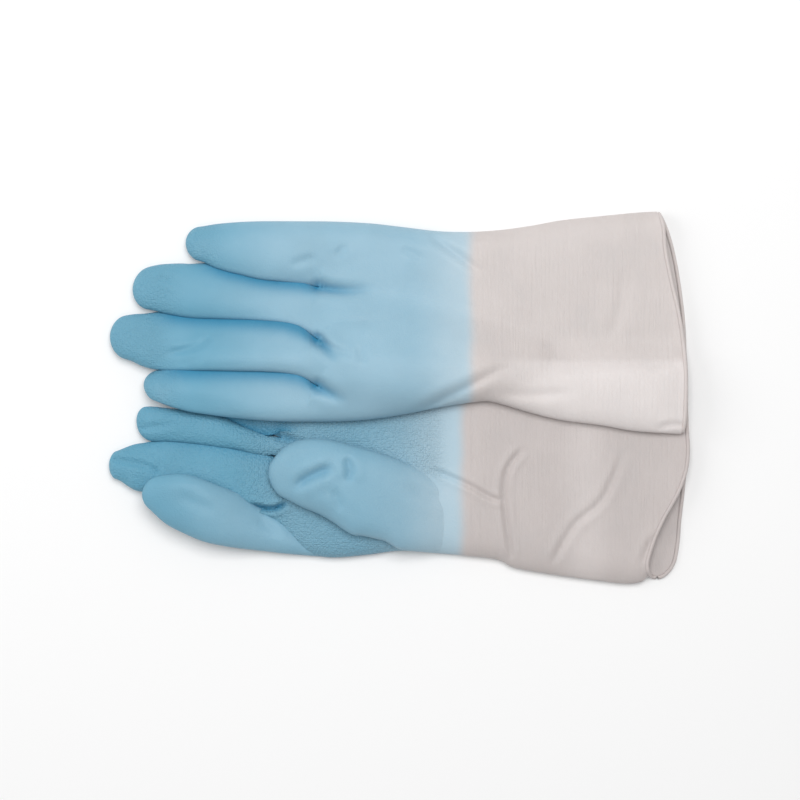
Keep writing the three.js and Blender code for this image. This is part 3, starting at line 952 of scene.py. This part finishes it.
def right_tint(plan, is_upper):
    """How deep the blue is, partly painted shade; how much painted shadow lies along each finger where
    the next one overlies it; and how pale the cuff is.
    """
    x, y = plan[:, 0], plan[:, 1]
    deep = 0.12 * smooth((-5 - x) / 40) + 0.72 * smooth((-48 - x) / 62)
    finger = right_finger(plan)
    crevice_shade = np.zeros(len(plan))
    # painted shadow along each tucked finger's high edge, under the finger that overlies it
    for number, rows, end in TUCKED:
        edge = np.exp(-((np.maximum(edge_height(rows, 2, x) - y - 2.0, 0) / 3.2) ** 2))
        crevice_shade += edge * (finger == number) * smooth((-38 - x) / 12) * smooth((x - end) / 20)
    pale = smooth((21 - y) / 4) * smooth((x - 46) / 40)
    return deep, 0.9 * crevice_shade * is_upper, pale * is_upper


def left_tint(plan, is_upper):
    """The same for the left glove, whose cuff has one paler band."""
    x, y = plan[:, 0], plan[:, 1]
    deep = 0.55 * smooth((16 - x) / 40) + 0.4 * smooth((-52 - x) / 40)
    slit_1, slit_2 = slits(L_FINGERS, x)
    # painted shade on the little and middle fingers beside the ring finger, which lies over both
    little = np.exp(-((np.maximum(y - slit_1, 0) / 6.0) ** 2)) * (y > slit_1) * smooth((-50 - x) / 12)
    middle = np.exp(-((np.maximum(slit_2 - y, 0) / 4.0) ** 2)) * (y < slit_2) * smooth((-52 - x) / 12)
    crevice_shade = (little + 0.6 * middle * smooth((x + 140) / 30)) * is_upper * 0.8
    pale = 0.3 * smooth((x - 80) / 18) * smooth((116 - x) / 18)
    return deep, crevice_shade, pale * is_upper


def lobe_tint(plan, is_upper):
    """The same for a thumb or the left index finger, which have no painted shade between fingers and
    no cuff.
    """
    deep = 0.4 * smooth((16 - plan[:, 0]) / 40) + 0.4 * smooth((-80 - plan[:, 0]) / 50)
    return deep, np.zeros(len(plan)), np.zeros(len(plan))


def left_piece(name, chosen, inner=False):
    return piece(name, left, chosen, left_rubber_shaded, palm_grip, left_tint, inner)


def right_piece(name, chosen, inner=False):
    return piece(name, right, chosen, right_rubber, back_grip, right_tint, inner)


def riding(obj, body, slot, *nodes):
    """Makes a piece move with a body, and hides the CAD nodes that it takes the place of."""
    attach(obj, body)
    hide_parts(*nodes)


def blended(obj, a, b, bend, slot, *nodes):
    """Bakes a piece's placement into its mesh, and hides the CAD nodes that it takes the place of.
    Bodies a and b and the bend are not used.
    """
    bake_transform(obj)
    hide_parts(*nodes)


LEFT_BEND = ((-60, 0, 5), (-84, 0, 5))
THUMB_BEND = ((6, 0, 15), (-22, 0, 15))
RIGHT_BEND = ((-48, 0, 10), (-68, 0, 10))
CUFF_BEND = ((WRIST, 0, 20), (WRIST + 22, 0, 20))
WHOLE = slice(None)

mid = left.centres()
slit_1, slit_2 = slits(L_FINGERS, mid[:, 0])
is_cuff = mid[:, 0] > WRIST
is_ring = (mid[:, 0] < CUT_L) & (mid[:, 1] < slit_1) & (mid[:, 1] > slit_2)
is_middle = (mid[:, 0] < CUT_L) & (mid[:, 1] <= slit_2)
hand = left_piece("left_hand_skin", ~(is_cuff | is_ring | is_middle))
riding(hand, "left_hand", "blue_rubber", "left_hand", "left_little_stall")
cuff = left_piece("left_cuff_skin", is_cuff, inner=True)
riding(cuff, "left_hand", "white_rubber", "left_cuff")
for name, chosen in (("ring", is_ring), ("middle", is_middle)):
    skin = left_piece(f"left_{name}_skin", chosen)
    blended(skin, "left_hand", f"left_{name}", LEFT_BEND, "blue_rubber", f"left_{name}_stall")
for name, lobe, bend in (("index", left_index, LEFT_BEND), ("thumb", left_thumb, THUMB_BEND)):
    skin = piece(f"left_{name}_skin", lobe, WHOLE, left_rubber_shaded, no_grip, lobe_tint)
    blended(skin, "left_hand", f"left_{name}", bend, "blue_rubber", f"left_{name}_stall")

mid = right.centres()
is_cuff = mid[:, 0] > WRIST
is_finger = mid[:, 0] < CUT_R
finger = right_finger(mid)
hand = right_piece("right_hand_skin", ~is_cuff & ~is_finger)
riding(hand, "right_hand", "blue_rubber", "right_hand")
cuff = right_piece("right_cuff_skin", is_cuff, inner=True)
blended(cuff, "right_hand", "right_cuff", CUFF_BEND, "white_rubber", "right_cuff")
for number, name in enumerate(("index", "middle", "ring", "little")):
    skin = right_piece(f"right_{name}_skin", is_finger & (finger == number))
    blended(skin, "right_hand", f"right_{name}", RIGHT_BEND, "blue_rubber", f"right_{name}_stall")
skin = piece("right_thumb_skin", right_thumb, WHOLE, right_rubber, no_grip, lobe_tint)
riding(skin, "right_hand", "blue_rubber", "right_thumb_stall")

bead = cord("left_cuff_edge", mouth_path(left, left_runs), BEAD, left_rubber_shaded)
riding(bead, "left_hand", "white_rubber", "left_cuff_bead")
bead = cord("right_cuff_edge", mouth_path(right, right_runs), BEAD, right_rubber)
riding(bead, "right_cuff", "white_rubber", "right_cuff_bead")

# --- stage, in metres -----------------------------------------------------------------------------

bpy.ops.mesh.primitive_plane_add(size=6, location=(0, 0, -0.0002))
floor = bpy.context.object
floor.name = "floor"
paper = bpy.data.materials.new("floor_white")
paper.use_nodes = True
paper_surface = paper.node_tree.nodes["Principled BSDF"]
paper_surface.inputs["Base Color"].default_value = (0.93, 0.93, 0.93, 1)
paper_surface.inputs["Roughness"].default_value = 0.9
floor.data.materials.append(paper)


def lamp(name, place, size, power):
    """A square lamp that faces the gloves."""
    data = bpy.data.lights.new(name, "AREA")
    data.energy = power
    data.size = size
    obj = bpy.data.objects.new(name, data)
    obj.location = place
    obj.rotation_euler = (-Vector(place)).to_track_quat("-Z", "Y").to_euler()
    bpy.context.scene.collection.objects.link(obj)


lamp("overhead", place=(0.1, 0.5, 1.6), size=1.1, power=19)
lamp("left_fill", place=(-1.3, 0.3, 0.9), size=1.0, power=6)
world = bpy.data.worlds.new("room")
bpy.context.scene.world = world
world.use_nodes = True
sky = world.node_tree.nodes["Background"]
sky.inputs["Color"].default_value = (1, 1, 1, 1)
sky.inputs["Strength"].default_value = 0.39
bpy.context.scene.view_settings.view_transform = "Standard"

CAMERA_HEIGHT = 1.2
VIEW_WIDTH = 0.424  # how much of the floor the picture shows
SENSOR = 36  # Blender's own, in mm
lens = bpy.data.cameras.new("above")
lens.lens = SENSOR * CAMERA_HEIGHT / VIEW_WIDTH
camera = bpy.data.objects.new("above", lens)
camera.location = (0.0008, -0.0016, CAMERA_HEIGHT)
bpy.context.scene.collection.objects.link(camera)
bpy.context.scene.camera = camera
